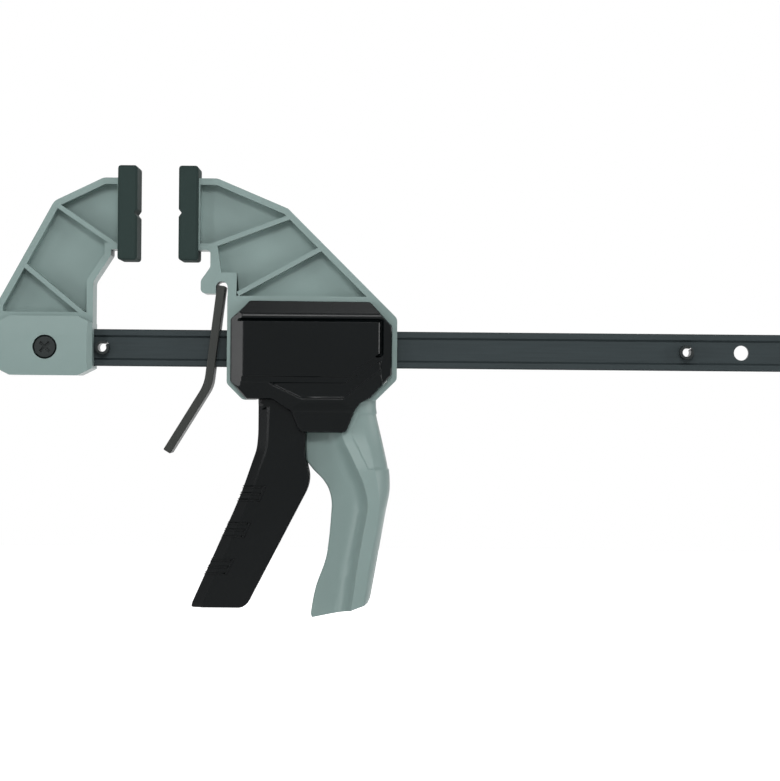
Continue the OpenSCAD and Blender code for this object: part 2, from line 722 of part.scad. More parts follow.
// Section of the channel at a share s of its height, starting at its front left corner
function trigger_ring(s) = let(
    f = trigger_at(trigger_front_shares, s), r = trigger_at(trigger_rear_shares, s),
    half = trigger_half, mid = half - trigger_slant, in = half - cheek_t,
    side = [[f, mid], [f + trigger_bevel, half], [r, half], [r, in], [f + trigger_wall, in]]
) [for (q = concat([for (q = side) [q.x, -q.y]], reversed(side)))
    [q.x, q.y, -s * trigger_drop]];
module trigger_channel() {
    s0 = trigger_front_shares[0][0];
    s1 = trigger_front_shares[len(trigger_front_shares) - 1][0];
    rings = [for (i = [0:trigger_steps]) trigger_ring(s0 + (s1 - s0) * i / trigger_steps)];
    m = len(rings[0]);
    top = [for (k = [m - 1:-1:0]) k];
    low = [for (k = [0:m - 1]) trigger_steps * m + k];
    polyhedron(points = [for (g = rings) each g],
        faces = concat(ring_walls(trigger_steps + 1, m), [top, low]));
}
module trigger_foot() {
    low = trigger_front_shares[len(trigger_front_shares) - 1][0];
    high = low - trigger_floor / trigger_drop;
    plate_mid(trigger_half - cheek_t / 2) polygon([for (q = [
        [trigger_front_shares, high, trigger_wall / 2], [trigger_front_shares, low, trigger_wall],
        [trigger_rear_shares, low, -trigger_wall], [trigger_rear_shares, high, -trigger_wall]
    ]) [trigger_at(q[0], q[1]) + q[2], -q[1] * trigger_drop + (q[1] == low ? fork_set : 0)]]);
}
module finger_band(z) {
    x = trigger_at(trigger_front_shares, -z / trigger_drop);
    half = trigger_half;
    mid = half - trigger_slant;
    out = band_rise;
    in = band_set;
    side = [[x - out, mid], [x + trigger_bevel - out / 2, half + out],
        [x + trigger_bevel + band_reach, half + out]];
    back = [[x + trigger_bevel + band_reach, half - in], [x + trigger_bevel + in / 2, half - in],
        [x + in * 2, mid]];
    run_z(z - band_h / 2, z + band_h / 2)
        polygon(concat(side, back, [for (q = reversed(back)) [q.x, -q.y]],
            [for (q = reversed(side)) [q.x, -q.y]]));
}
module fork_cheek(y0, y1) {
    plate_y(y0, y1) polygon(shared(fork_shares, trigger_reach, trigger_drop));
    round_y(0, 0, hub_r, y0, y1);
    round_y(nose_x, -nose_drop, nose_r, y0, y1);
}
module trigger() {
    in = trigger_half - cheek_t + fork_set;
    out = trigger_half - fork_set;
    color(BLACK) translate([pivot_x, 0, pivot_h]) difference() {
        union() {
            trigger_channel();
            trigger_foot();
            fork_cheek(-out, -in);
            fork_cheek(in, out);
            for (s = band_shares, k = [-1:1]) finger_band(-s * trigger_drop + k * band_pitch);
        }
        round_y(0, 0, pivot_d / 2 + pin_gap, -trigger_half - over, trigger_half + over);
    }
}
module trigger_pin() {
    color(PLATED) round_y(pivot_x, pivot_h, pivot_d / 2, -pin_end, pin_end);
}

// Drive plates: stamped steel, each with a window for the bar
window_gap = 0.3;
plate_gap = 0.05;
plate_round = 2;
plate_x = pivot_x + nose_x + nose_r + window_gap;
spring_x0 = plate_x + 3 * plate_t + 2 * plate_gap;
spring_x1 = move_x + body_len - rear_wall;
module drive_plate(i) {
    x = plate_x + i * (plate_t + plate_gap);
    h = plate_h / 2;
    color(PLATED) difference() {
        run_x(x, x + plate_t) polygon(rounded([
            [-plate_half, -h], [plate_half, -h], [plate_half, h], [-plate_half, h]],
            plate_round));
        box([x - over, -bar_t / 2 - window_gap, -bar_h / 2 - window_gap],
            [x + plate_t + over, bar_t / 2 + window_gap, bar_h / 2 + window_gap]);
    }
}
module drive_plate_1() { drive_plate(0); }
module drive_plate_2() { drive_plate(1); }
module drive_plate_3() { drive_plate(2); }

// Coil springs along X: a helix whose first and last quarter turns lie flat
spring_rings = 8;
spring_sides = 6;
function spring_points(x0, x1, r, wire, turns) = let(
    n = turns * spring_rings, flat = spring_rings / 4, free = x1 - x0 - wire
) [for (i = [0:n]) let(
    a = 360 * i / spring_rings,
    run = max(0, min(1, (i - flat) / (n - 2 * flat)))
) [x0 + wire / 2 + free * run, r * cos(a), r * sin(a)]];
function spring_least_gap(p, wire) = min([for (i = [0:len(p) - 1])
    for (j = [i + spring_rings - 2:1:min(i + spring_rings + 2, len(p) - 1)])
        norm(p[i] - p[j])]) - wire;
module spring_wire(p, wire) {
    n = len(p);
    m = spring_sides;
    points = [for (i = [0:n - 1]) let(
        t = unit(p[min(i + 1, n - 1)] - p[max(i - 1, 0)]),
        e = unit([0, p[i].y, p[i].z]),
        b = unit(cross(t, e)),
        c = cross(b, t)
    ) each [for (k = [0:m - 1]) let(a = 360 * k / m) p[i] + wire / 2 * (c * cos(a) + b * sin(a))]];
    ends = [[for (k = [m - 1:-1:0]) k], [for (k = [0:m - 1]) (n - 1) * m + k]];
    polyhedron(points = points, faces = concat(ends, ring_walls(n, m)));
}
drive_coil = spring_points(spring_x0, spring_x1, drive_r, drive_wire, drive_turns);
echo(drive_spring_least_gap = spring_least_gap(drive_coil, drive_wire));
module drive_spring() { color(PLATED) spring_wire(drive_coil, drive_wire); }

// Brake lever, hooked by its top edge in the notch of the jaw body
lever_head = 0.8;
lever_set = 0.3;
bend_drop = 18.5;
bend_round = 16;
tip_round = 0.6;
brake_y = 6.8;
brake_r = 2.2;
brake_sink = 2;
lever_top = [notch_x - lever_set, notch_z + lever_head];
lever_knee = lever_top - (lever_top.y + bend_drop) * [tan(lever_lean), 1];
lever_tip = lever_knee - (lever_drop - bend_drop) * [tan(lever_lean + lever_bend), 1];
// Outline of a strip of even width along three points
function bent_strip(a, b, c, w) = let(
    n1 = left(unit(b - a)), n2 = left(unit(c - b)), m = (n1 + n2) / (1 + n1 * n2)
) [a + n1 * w / 2, b + m * w / 2, c + n2 * w / 2, c - n2 * w / 2, b - m * w / 2, a - n1 * w / 2];
module brake_lever() {
    slant = lever_t / 2 * tan(lever_lean);
    window = bar_h / 2 / cos(lever_lean) + slant + slide_gap + seat_gap;
    axis_x = lever_top.x - lever_top.y * tan(lever_lean);
    color(STEEL) translate([move_x, 0, 0]) difference() {
        plate_mid(lever_half) polygon(rounded(
            bent_strip(lever_top, lever_knee, lever_tip, lever_t),
            [tip_round, bend_round, tip_round, tip_round, bend_round + lever_t, tip_round]));
        translate([axis_x, 0, 0]) rotate([0, lever_lean, 0])
            box([-lever_t, -bar_t / 2 - window_gap, -window],
                [lever_t, bar_t / 2 + window_gap, window]);
    }
}
brake_x0 = move_x + lever_top.x - (lever_top.y - brake_r) * tan(lever_lean)
    + lever_t / 2 / cos(lever_lean) + seat_gap;
brake_x1 = move_x + body_front + brake_sink;
brake_coil = spring_points(brake_x0, brake_x1, brake_r, brake_wire, brake_turns);
echo(brake_spring_least_gap = spring_least_gap(brake_coil, brake_wire));
module brake_spring() {
    color(PLATED) translate([0, brake_y, 0]) spring_wire(brake_coil, brake_wire);
}

bar();
stop_pin_front();
stop_pin_rear();
fixed_jaw();
jaw_screw();
jaw_nut();
fixed_pad();
jaw_body();
moving_pad();
cover_front();
cover_back();
cover_screws();
trigger();
trigger_pin();
drive_plate_1();
drive_plate_2();
drive_plate_3();
drive_spring();
brake_lever();
brake_spring();
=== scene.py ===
# %% [markdown]
# # Quick release bar clamp
# A squeeze of the trigger feeds the moving jaw along a rolled steel bar, and the
# bent lever in front of the housing holds what it has gained. The exact solids
# arrive from the frame. Here each one gets its finish and softened edges, and the
# mouldings that the eye rests on, trigger, handle and covers, are modelled again
# with their fine forms.

# %% Load the frame
import json
import math

import bmesh
import bpy
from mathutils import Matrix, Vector

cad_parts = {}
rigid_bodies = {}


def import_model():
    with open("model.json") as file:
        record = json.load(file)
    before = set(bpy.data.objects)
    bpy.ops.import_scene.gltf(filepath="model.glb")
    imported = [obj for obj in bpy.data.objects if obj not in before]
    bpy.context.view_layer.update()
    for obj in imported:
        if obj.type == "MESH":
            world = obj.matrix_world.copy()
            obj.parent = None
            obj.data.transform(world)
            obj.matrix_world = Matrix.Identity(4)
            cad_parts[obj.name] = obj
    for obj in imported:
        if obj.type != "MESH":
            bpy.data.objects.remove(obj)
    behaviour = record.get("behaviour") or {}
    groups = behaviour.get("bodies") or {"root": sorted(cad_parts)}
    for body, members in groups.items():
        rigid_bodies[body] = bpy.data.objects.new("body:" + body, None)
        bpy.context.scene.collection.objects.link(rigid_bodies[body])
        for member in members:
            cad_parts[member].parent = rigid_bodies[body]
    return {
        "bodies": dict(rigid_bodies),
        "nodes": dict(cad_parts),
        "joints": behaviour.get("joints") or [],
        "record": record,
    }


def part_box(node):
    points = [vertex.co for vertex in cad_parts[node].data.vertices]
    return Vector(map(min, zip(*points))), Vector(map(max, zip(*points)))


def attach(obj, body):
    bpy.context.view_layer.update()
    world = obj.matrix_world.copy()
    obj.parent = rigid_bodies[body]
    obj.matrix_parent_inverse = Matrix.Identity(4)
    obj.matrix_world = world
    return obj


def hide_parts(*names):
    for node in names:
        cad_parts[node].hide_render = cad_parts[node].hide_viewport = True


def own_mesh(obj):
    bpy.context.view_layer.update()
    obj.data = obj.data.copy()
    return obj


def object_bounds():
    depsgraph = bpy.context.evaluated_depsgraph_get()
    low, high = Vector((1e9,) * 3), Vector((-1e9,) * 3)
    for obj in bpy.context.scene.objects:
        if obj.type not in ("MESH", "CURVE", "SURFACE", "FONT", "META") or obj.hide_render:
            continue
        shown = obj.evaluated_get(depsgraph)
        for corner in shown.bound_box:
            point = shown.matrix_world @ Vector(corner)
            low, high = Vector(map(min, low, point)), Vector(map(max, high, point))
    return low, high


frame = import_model()
cad_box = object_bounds()
nodes = frame["nodes"]
scene = bpy.context.scene
MM = 0.001

# %% [markdown]
# ## Camera
# The photograph was taken straight at the clamp's side from about a metre and a
# half, with the picture turned half a degree. A real lens could be guessed from
# the object's depth alone. Here the distance is set first and the focal length
# follows from the width of bar that fills the frame, so both can be checked.

# %% Camera
VIEW_DISTANCE = 1.5
VIEW_WIDTH = 0.3905
VIEW_CENTRE = Vector((-0.1753, 0.0, -0.0202))
VIEW_ROLL = math.radians(0.5)
camera = bpy.data.objects.new("camera", bpy.data.cameras.new("camera"))
scene.collection.objects.link(camera)
camera.data.sensor_width = 36.0
camera.data.lens = camera.data.sensor_width * VIEW_DISTANCE / VIEW_WIDTH
camera.data.clip_end = 20.0
camera.location = VIEW_CENTRE - Vector((0, VIEW_DISTANCE, 0))
camera.rotation_euler = (math.radians(90), -VIEW_ROLL, 0)
scene.camera = camera
scene.view_settings.view_transform = "Standard"
print("lens", round(camera.data.lens, 1), "mm")

# %% [markdown]
# ## Studio
# Catalogue pictures of tools are lit by a soft box above and in front, one at each
# side and white card all round. A tall narrow box at the front left draws the thin
# bright lines along the black edges, and one behind the clamp lifts its tops. Area
# lamps stand for the boxes and a plain world for the card. The world shows pure
# white to the camera and in reflections, while a lower strength of it lights the
# clamp. Lamps alone would leave the black mouldings without an edge against each
# other.

# %% Lamps
def soft_box(name, place, width, height, power):
    """An area lamp that faces the middle of the view"""
    lamp = bpy.data.lights.new(name, "AREA")
    lamp.shape = "RECTANGLE"
    lamp.size, lamp.size_y = width, height
    lamp.energy = power
    box = bpy.data.objects.new(name, lamp)
    scene.collection.objects.link(box)
    box.location = VIEW_CENTRE + Vector(place)
    box.rotation_euler = (-Vector(place)).to_track_quat("-Z", "Y").to_euler()


# Place from the middle of the view, width and height in metres, power in watts
SOFT_BOXES = {
    "soft_box_front": ((0.00, -1.70, 0.72), 0.60, 0.35, 12.0),
    "soft_box_left": ((-1.45, -0.72, 0.05), 0.35, 0.50, 6.0),
    "strip_box_left": ((-1.00, -1.40, 0.28), 0.09, 0.75, 3.2),
    "soft_box_right": ((1.45, -0.68, 0.20), 0.35, 0.50, 8.0),
    "soft_box_above": ((0.10, -0.90, 1.20), 0.40, 0.20, 1.5),
    "soft_box_behind": ((0.30, 1.60, 0.80), 0.60, 0.40, 12.0),
}
for name, box in SOFT_BOXES.items():
    soft_box(name, *box)

# %% White surroundings
def seen_as_white(tree, lit, white):
    """Mixes two shaders so that the camera and reflections see the second"""
    path = tree.nodes.new("ShaderNodeLightPath")
    seen = path.outputs["Is Camera Ray"]
    for ray in ("Is Glossy Ray", "Is Transmission Ray"):
        either = tree.nodes.new("ShaderNodeMath")
        either.operation = "MAXIMUM"
        tree.links.new(seen, either.inputs[0])
        tree.links.new(path.outputs[ray], either.inputs[1])
        seen = either.outputs[0]
    mix = tree.nodes.new("ShaderNodeMixShader")
    tree.links.new(seen, mix.inputs["Fac"])
    tree.links.new(lit, mix.inputs[1])
    tree.links.new(white, mix.inputs[2])
    return mix.outputs[0]


WORLD_LIGHT = 0.14
world = bpy.data.worlds.new("white card")
world.use_nodes = True
scene.world = world
card = world.node_tree.nodes["Background"]
card.inputs["Color"].default_value = (1, 1, 1, 1)
card.inputs["Strength"].default_value = WORLD_LIGHT
shown = world.node_tree.nodes.new("ShaderNodeBackground")
shown.inputs["Color"].default_value = (1, 1, 1, 1)
world.node_tree.links.new(
    seen_as_white(world.node_tree, card.outputs[0], shown.outputs[0]),
    world.node_tree.nodes["World Output"].inputs["Surface"])
print("world:", world.name, "lights at", WORLD_LIGHT)

# %% [markdown]
# ## Floor
# The clamp hangs in a white picture with no shadow, so the floor lies low enough
# for its shadow to fall outside the photograph's frame. A floor that only glows
# would lose the shadow in the other views. This one adds a plain white surface to
# a glow. Round the clamp the glow is weaker, so the sum is white in the open and
# still darkens in the shadow, and farther out, where the lamps no longer reach and
# the photograph's frame begins, the glow alone is white. From below it is clear, so
# that it never hides the clamp.

# %% Floor
FLOOR_DROP = 0.125
FLOOR_SIZE = 6.0
FLOOR_PAINT, FLOOR_ROUGHNESS = 0.8, 0.9
SHADOW_CENTRE = (-0.17, -0.40)
SHADOW_INNER, SHADOW_OUTER = 0.62, 0.80
NEAR_GLOW = 0.50
floor_mesh = bpy.data.meshes.new("floor")
half = FLOOR_SIZE / 2
floor_z = cad_box[0][2] - FLOOR_DROP
corners = [(-half, -half), (half, -half), (half, half), (-half, half)]
floor_mesh.from_pydata([(x, y, floor_z) for x, y in corners], [], [(0, 1, 2, 3)])
floor = bpy.data.objects.new("floor", floor_mesh)
scene.collection.objects.link(floor)
print("floor at", round(floor_z, 3), "m")

# %% Floor: white card that keeps a shadow
white = bpy.data.materials.new("white card floor")
white.use_nodes = True
tree = white.node_tree
paint = tree.nodes["Principled BSDF"]
paint.inputs["Base Color"].default_value = (FLOOR_PAINT, FLOOR_PAINT, FLOOR_PAINT, 1)
paint.inputs["Roughness"].default_value = FLOOR_ROUGHNESS
glow = tree.nodes.new("ShaderNodeEmission")
spot = tree.nodes.new("ShaderNodeTexCoord")
away = tree.nodes.new("ShaderNodeVectorMath")
away.operation = "DISTANCE"
away.inputs[1].default_value = (*SHADOW_CENTRE, floor_z)
rise = tree.nodes.new("ShaderNodeMapRange")
rise.interpolation_type = "SMOOTHSTEP"
rise.inputs["From Min"].default_value = SHADOW_INNER
rise.inputs["From Max"].default_value = SHADOW_OUTER
rise.inputs["To Min"].default_value = NEAR_GLOW
tree.links.new(spot.outputs["Object"], away.inputs[0])
tree.links.new(away.outputs["Value"], rise.inputs["Value"])
tree.links.new(rise.outputs["Result"], glow.inputs["Strength"])
lifted = tree.nodes.new("ShaderNodeAddShader")
tree.links.new(paint.outputs[0], lifted.inputs[0])
tree.links.new(glow.outputs[0], lifted.inputs[1])
side = tree.nodes.new("ShaderNodeNewGeometry")
open_below = tree.nodes.new("ShaderNodeBsdfTransparent")
one_way = tree.nodes.new("ShaderNodeMixShader")
tree.links.new(side.outputs["Backfacing"], one_way.inputs["Fac"])
tree.links.new(seen_as_white(tree, paint.outputs[0], lifted.outputs[0]), one_way.inputs[1])
tree.links.new(open_below.outputs[0], one_way.inputs[2])
tree.links.new(one_way.outputs[0], tree.nodes["Material Output"].inputs["Surface"])
floor_mesh.materials.append(white)
print("finish:", white.name)

# %% [markdown]
# ## Effects that several finishes share
# Moulded plastic carries the fine spark grain of its steel mould, and its colour
# and gloss drift a little where it cooled or was held. Rolled and drawn steel has
# lines along its length instead. Images could be painted for this, but a node
# group works from the piece's own place in metres, so the grain has a true size
# and needs no unwrapping.

# %% Effect: moulded grain
def effect_group(name, inputs, outputs):
    """A node group with named sockets, and its two end nodes"""
    group = bpy.data.node_groups.new(name, "ShaderNodeTree")
    for label, kind, value in inputs:
        socket = group.interface.new_socket(name=label, in_out="INPUT", socket_type=kind)
        if value is not None:
            socket.default_value = value
    for label, kind in outputs:
        group.interface.new_socket(name=label, in_out="OUTPUT", socket_type=kind)
    return group, group.nodes.new("NodeGroupInput"), group.nodes.new("NodeGroupOutput")


FLOAT, VECTOR, COLOUR = "NodeSocketFloat", "NodeSocketVector", "NodeSocketColor"
GRAIN_HEIGHT = 0.0002
moulded_grain, given, made = effect_group(
    "moulded grain",
    [("Place", VECTOR, None), ("Grains per metre", FLOAT, 2500), ("Depth", FLOAT, 0.1)],
    [("Normal", VECTOR)])
pits = moulded_grain.nodes.new("ShaderNodeTexNoise")
pits.inputs["Detail"].default_value = 3
bump = moulded_grain.nodes.new("ShaderNodeBump")
bump.inputs["Distance"].default_value = GRAIN_HEIGHT
moulded_grain.links.new(given.outputs["Place"], pits.inputs["Vector"])
moulded_grain.links.new(given.outputs["Grains per metre"], pits.inputs["Scale"])
moulded_grain.links.new(given.outputs["Depth"], bump.inputs["Strength"])
moulded_grain.links.new(pits.outputs["Fac"], bump.inputs["Height"])
moulded_grain.links.new(bump.outputs["Normal"], made.inputs["Normal"])
print("group:", moulded_grain.name)

# %% Effect: drifting shade
drifting_shade, given, made = effect_group(
    "drifting shade",
    [("Place", VECTOR, None), ("Colour", COLOUR, (0.5, 0.5, 0.5, 1)),
     ("Drifts per metre", FLOAT, 18), ("Shade drift", FLOAT, 0.08),
     ("Roughness", FLOAT, 0.4), ("Gloss drift", FLOAT, 0.06)],
    [("Colour", COLOUR), ("Roughness", FLOAT)])


def math_node(group, kind, *values):
    """A Math node whose inputs are sockets or plain numbers"""
    node = group.nodes.new("ShaderNodeMath")
    node.operation = kind
    for socket, value in zip(node.inputs, values):
        if isinstance(value, (int, float)):
            socket.default_value = value
        else:
            group.links.new(value, socket)
    return node.outputs[0]


def shaded(group, colour, amount):
    """The colour times one plus an amount that runs below and above zero"""
    scale = group.nodes.new("ShaderNodeVectorMath")
    scale.operation = "SCALE"
    group.links.new(colour, scale.inputs[0])
    group.links.new(math_node(group, "ADD", amount, 1.0), scale.inputs["Scale"])
    return scale.outputs[0]


cloud = drifting_shade.nodes.new("ShaderNodeTexNoise")
cloud.inputs["Detail"].default_value = 4
cloud.inputs["Roughness"].default_value = 0.6
drifting_shade.links.new(given.outputs["Place"], cloud.inputs["Vector"])
drifting_shade.links.new(given.outputs["Drifts per metre"], cloud.inputs["Scale"])
swing = math_node(drifting_shade, "SUBTRACT", cloud.outputs["Fac"], 0.5)
drifting_shade.links.new(
    shaded(drifting_shade, given.outputs["Colour"],
           math_node(drifting_shade, "MULTIPLY", swing, given.outputs["Shade drift"])),
    made.inputs["Colour"])
drifting_shade.links.new(
    math_node(drifting_shade, "ADD", given.outputs["Roughness"],
              math_node(drifting_shade, "MULTIPLY", swing, given.outputs["Gloss drift"])),
    made.inputs["Roughness"])
print("group:", drifting_shade.name)

# %% Effect: drawn lines
LINE_HEIGHT = 0.0001
drawn_lines, given, made = effect_group(
    "drawn lines",
    [("Place", VECTOR, None), ("Lines per metre", FLOAT, 900), ("Stretch", VECTOR, (0.03, 1, 1)),
     ("Depth", FLOAT, 0.1)],
    [("Mask", FLOAT), ("Normal", VECTOR)])
along = drawn_lines.nodes.new("ShaderNodeVectorMath")
along.operation = "MULTIPLY"
streaks = drawn_lines.nodes.new("ShaderNodeTexNoise")
streaks.inputs["Detail"].default_value = 2
bump = drawn_lines.nodes.new("ShaderNodeBump")
bump.inputs["Distance"].default_value = LINE_HEIGHT
drawn_lines.links.new(given.outputs["Place"], along.inputs[0])
drawn_lines.links.new(given.outputs["Stretch"], along.inputs[1])
drawn_lines.links.new(along.outputs[0], streaks.inputs["Vector"])
drawn_lines.links.new(given.outputs["Lines per metre"], streaks.inputs["Scale"])
drawn_lines.links.new(given.outputs["Depth"], bump.inputs["Strength"])
drawn_lines.links.new(streaks.outputs["Fac"], bump.inputs["Height"])
drawn_lines.links.new(streaks.outputs["Fac"], made.inputs["Mask"])
drawn_lines.links.new(bump.outputs["Normal"], made.inputs["Normal"])
print("group:", drawn_lines.name)

# %% [markdown]
# ## Moulded finishes
# The body is a grey glass filled nylon with a soft sheen, the covers and trigger
# are the same plastic in black with a little more gloss, and the pads are a duller,
# softer plastic. One recipe makes all three: the shader stays in the material, and
# the groups feed its colour, roughness and normal. Low specular keeps the black
# black among so much white card.

# %% Moulded plastics
PLASTIC_GLOSS_DRIFT = 0.10


def from_screen(red, green, blue):
    """A colour as read off a screen, turned into the linear values of a shader"""
    return tuple(
        c / 12.92 if c <= 0.04045 else ((c + 0.055) / 1.055) ** 2.4
        for c in (red / 255, green / 255, blue / 255)) + (1.0,)


def placed(tree, group, values):
    """A group node in a material, fed with the piece's own place"""
    place = tree.nodes.get("Texture Coordinate") or tree.nodes.new("ShaderNodeTexCoord")
    node = tree.nodes.new("ShaderNodeGroup")
    node.node_tree = group
    tree.links.new(place.outputs["Object"], node.inputs["Place"])
    for label, value in values.items():
        node.inputs[label].default_value = value
    return node


def moulded(name, colour, roughness, specular, grain, depth, drift):
    """A plastic with its grain per metre, the grain's depth and its drift of shade"""
    finish = bpy.data.materials.new(name)
    finish.use_nodes = True
    finish.diffuse_color = colour
    tree = finish.node_tree
    skin = tree.nodes["Principled BSDF"]
    skin.inputs["Specular IOR Level"].default_value = specular
    shade = placed(tree, drifting_shade, {
        "Colour": colour, "Shade drift": drift, "Roughness": roughness,
        "Gloss drift": PLASTIC_GLOSS_DRIFT})
    texture = placed(tree, moulded_grain, {"Grains per metre": grain, "Depth": depth})
    tree.links.new(shade.outputs["Colour"], skin.inputs["Base Color"])
    tree.links.new(shade.outputs["Roughness"], skin.inputs["Roughness"])
    tree.links.new(texture.outputs["Normal"], skin.inputs["Normal"])
    print("finish:", name)
    return finish


grey_plastic = moulded("grey plastic", from_screen(127, 146, 143), 0.40, 0.28, 2200, 0.10, 0.10)
black_plastic = moulded("black plastic", from_screen(8, 12, 13), 0.21, 0.12, 2600, 0.04, 0.20)
pad_rubber = moulded("pad rubber", from_screen(48, 60, 58), 0.75, 0.04, 1700, 0.22, 0.22)

# %% [markdown]
# ## Steel finishes
# The bar is hot rolled and blackened, and so are the lever, the stop pins and the
# screws. Plates, nut, trigger pin and springs are bright. Blackened steel could be
# plain black paint, but its sheen is that of metal under a thin oxide, so it is
# part metal here. The lines of rolling run along X on the bar and down the lever,
# and the springs' wire and the plates get finer lines of the same kind.

# %% Steels
STEEL_SPECULAR, STEEL_GLOSS_DRIFT = 0.2, 0.18


def steel(name, colour, roughness, metal, lines, stretch, depth, drift):
    """A steel with its lines per metre, the way they run, their depth and drift"""
    finish = bpy.data.materials.new(name)
    finish.use_nodes = True
    finish.diffuse_color = colour
    tree = finish.node_tree
    skin = tree.nodes["Principled BSDF"]
    skin.inputs["Metallic"].default_value = metal
    skin.inputs["Specular IOR Level"].default_value = STEEL_SPECULAR
    drawn = placed(tree, drawn_lines, {
        "Lines per metre": lines, "Stretch": stretch, "Depth": depth})
    shade = placed(tree, drifting_shade, {
        "Drifts per metre": 30, "Shade drift": drift, "Roughness": roughness,
        "Gloss drift": STEEL_GLOSS_DRIFT})
    light_and_dark = tree.nodes.new("ShaderNodeMix")
    light_and_dark.data_type = "RGBA"
    light_and_dark.inputs["A"].default_value = tuple(c * (1 - drift) for c in colour[:3]) + (1,)
    light_and_dark.inputs["B"].default_value = tuple(c * (1 + drift) for c in colour[:3]) + (1,)
    tree.links.new(drawn.outputs["Mask"], light_and_dark.inputs["Factor"])
    tree.links.new(light_and_dark.outputs["Result"], shade.inputs["Colour"])
    tree.links.new(shade.outputs["Colour"], skin.inputs["Base Color"])
    tree.links.new(shade.outputs["Roughness"], skin.inputs["Roughness"])
    tree.links.new(drawn.outputs["Normal"], skin.inputs["Normal"])
    print("finish:", name)
    return finish


ALONG_X, ALONG_Z, ACROSS, ALL_WAYS = (0.03, 1, 1), (1, 1, 0.03), (1, 0.1, 1), (1, 1, 1)
bar_steel = steel(
    "bar steel", from_screen(43, 51, 53), 0.50, 0.30, 1200, ALONG_X, 0.20, 0.20)
lever_steel = steel(
    "lever steel", from_screen(49, 51, 49), 0.50, 0.25, 1200, ALONG_Z, 0.20, 0.20)
black_screw = steel(
    "black screw", from_screen(40, 44, 44), 0.34, 0.45, 2000, ALL_WAYS, 0.10, 0.15)
spring_steel = steel(
    "spring steel", from_screen(140, 142, 140), 0.32, 1.00, 2000, ALONG_X, 0.08, 0.15)
plated_steel = steel(
    "plated steel", from_screen(122, 126, 124), 0.36, 1.00, 1500, ACROSS, 0.10, 0.18)

# %% [markdown]
# ## The solids that stay
# Most of the clamp's solids already have their true shape, so they keep it. Real
# mouldings and stampings have no knife edges, and a camera reads an object by the
# thin light along its edges. The edges could be rounded in the solid, at the price
# of many tiny faces. A bevel modifier does it for the picture alone: the flat faces
# are joined first, so that only true edges are rounded.

# %% Finish and soften the kept solids
FINISH_OF = {
    "bar": bar_steel, "stop_pin_front": black_screw, "stop_pin_rear": black_screw,
    "fixed_jaw": grey_plastic, "jaw_screw": black_screw, "jaw_nut": plated_steel,
    "fixed_pad": pad_rubber, "jaw_body": grey_plastic, "moving_pad": pad_rubber,
    "cover_front": black_plastic, "cover_back": black_plastic, "cover_screws": black_screw,
    "trigger": black_plastic, "trigger_pin": plated_steel, "drive_plate_1": plated_steel,
    "drive_plate_2": plated_steel, "drive_plate_3": plated_steel, "drive_spring": spring_steel,
    "brake_lever": lever_steel, "brake_spring": spring_steel,
}
EDGE_OF = {"jaw_screw": 0.15, "cover_screws": 0.1, "stop_pin_front": 0.2, "stop_pin_rear": 0.2,
           "fixed_pad": 0.3, "moving_pad": 0.3, "bar": 0.3}
EDGE_OF_OTHERS = 0.4
ROUND_WIRE = ("drive_spring", "brake_spring")
WELD_WITHIN = 1e-6
JOIN_TURN = math.radians(1)
EDGE_TURN = math.radians(28)


def soften(piece, edge):
    """Rounds a piece's true edges, edge in millimetres"""
    weld = piece.modifiers.new("one skin", "WELD")
    weld.merge_threshold = WELD_WITHIN
    joined = piece.modifiers.new("whole faces", "DECIMATE")
    joined.decimate_type = "DISSOLVE"
    joined.angle_limit = JOIN_TURN
    rounded = piece.modifiers.new("rounded edges", "BEVEL")
    rounded.width = edge * MM
    rounded.segments = 2
    rounded.limit_method = "ANGLE"
    rounded.angle_limit = EDGE_TURN
    rounded.harden_normals = True
    piece.modifiers.new("flat faces stay flat", "WEIGHTED_NORMAL")


for name, finish in FINISH_OF.items():
    solid = nodes[name]
    for place in solid.material_slots:
        place.material = finish
    if name not in ROUND_WIRE:
        soften(solid, EDGE_OF.get(name, EDGE_OF_OTHERS))
print("softened:", len(FINISH_OF) - len(ROUND_WIRE), "solids")

# %% [markdown]
# ## Tools for the modelled pieces
# The mouldings are drawn like their drawings: outlines and tables in millimetres,
# measured from a named place on the clamp. A mesh could be pushed about by hand, but
# a drawing can be measured and changed. These helpers turn rings of points into
# skins, round the corners of an outline and smooth a table.

# %% Named places and tables
PAD_FACE_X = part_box("moving_pad")[0][0] / MM
PIVOT_X = (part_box("trigger_pin")[0][0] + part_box("trigger_pin")[1][0]) / 2 / MM
PIVOT_Z = (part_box("trigger_pin")[0][2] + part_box("trigger_pin")[1][2]) / 2 / MM


def ease(t):
    """Runs from 0 to 1 with a soft start and end"""
    t = max(0.0, min(1.0, t))
    return t * t * (3 - 2 * t)


def lookup(table, at):
    """A smooth line through a table of (place, value) rows"""
    if at <= table[0][0]:
        return table[0][1]
    if at >= table[-1][0]:
        return table[-1][1]
    i = max(k for k in range(len(table) - 1) if table[k][0] <= at)
    (x0, y0), (x1, y1) = table[i], table[i + 1]
    before = table[max(i - 1, 0)]
    after = table[min(i + 2, len(table) - 1)]
    slope0 = (y1 - before[1]) / (x1 - before[0])
    slope1 = (after[1] - y0) / (after[0] - x0)
    t, w = (at - x0) / (x1 - x0), x1 - x0
    return ((2 * t**3 - 3 * t**2 + 1) * y0 + (t**3 - 2 * t**2 + t) * w * slope0
            + (3 * t**2 - 2 * t**3) * y1 + (t**3 - t**2) * w * slope1)


print("pad face at", round(PAD_FACE_X, 1), "pivot at", round(PIVOT_X, 1), round(PIVOT_Z, 1))

